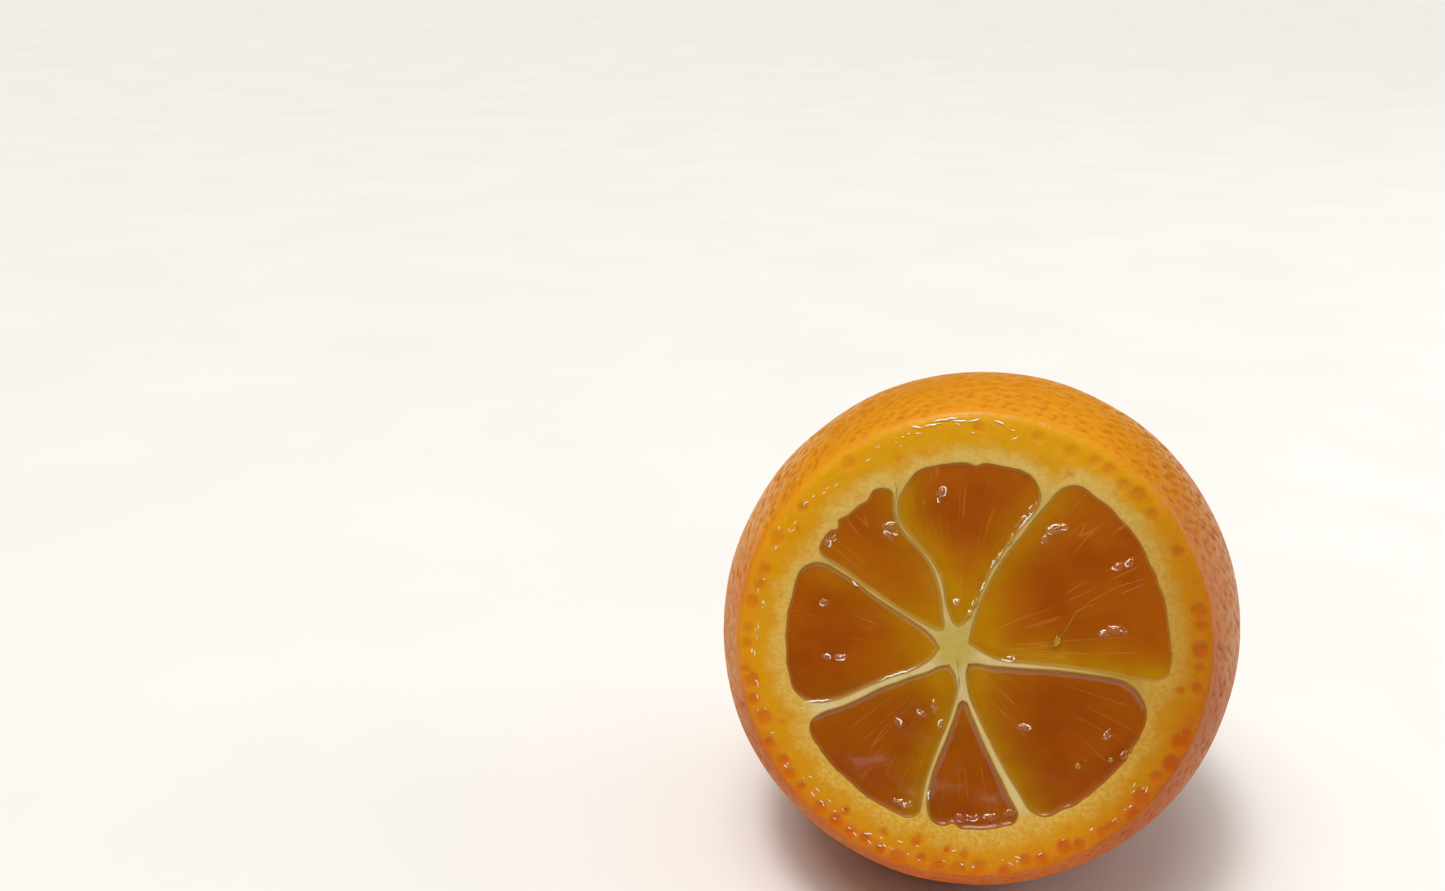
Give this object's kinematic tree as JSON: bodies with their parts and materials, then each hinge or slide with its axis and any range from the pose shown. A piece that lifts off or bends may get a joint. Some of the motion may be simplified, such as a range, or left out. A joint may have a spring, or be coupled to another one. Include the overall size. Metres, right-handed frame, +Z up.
{
  "type": "cut kumquat",
  "caption": "Oval kumquat cut crosswise, lying on its side with the cut face forward: glossy pitted peel with pith, walls and core in one piece, and juicy segments seated in its pockets.",
  "frame": {"origin": "on the surface that the fruit rests on, under the middle of its box", "axes": "+Z up, -Y to the front, where the cut face looks forward and leans back 17.5 degrees, and +X to the right of someone facing the cut"},
  "size_m": [0.032, 0.033, 0.0322],
  "materials": {
    "peel": "glossy, waxy and finely pitted",
    "pulp": "wet and translucent"
  },
  "bodies": {
    "root": {"peel": "peel", "segment_top": "pulp", "segment_upper_right": "pulp", "segment_lower_right": "pulp", "segment_bottom": "pulp", "segment_lower_left": "pulp", "segment_left": "pulp", "segment_upper_left": "pulp"}
  },
  "joints": []
}
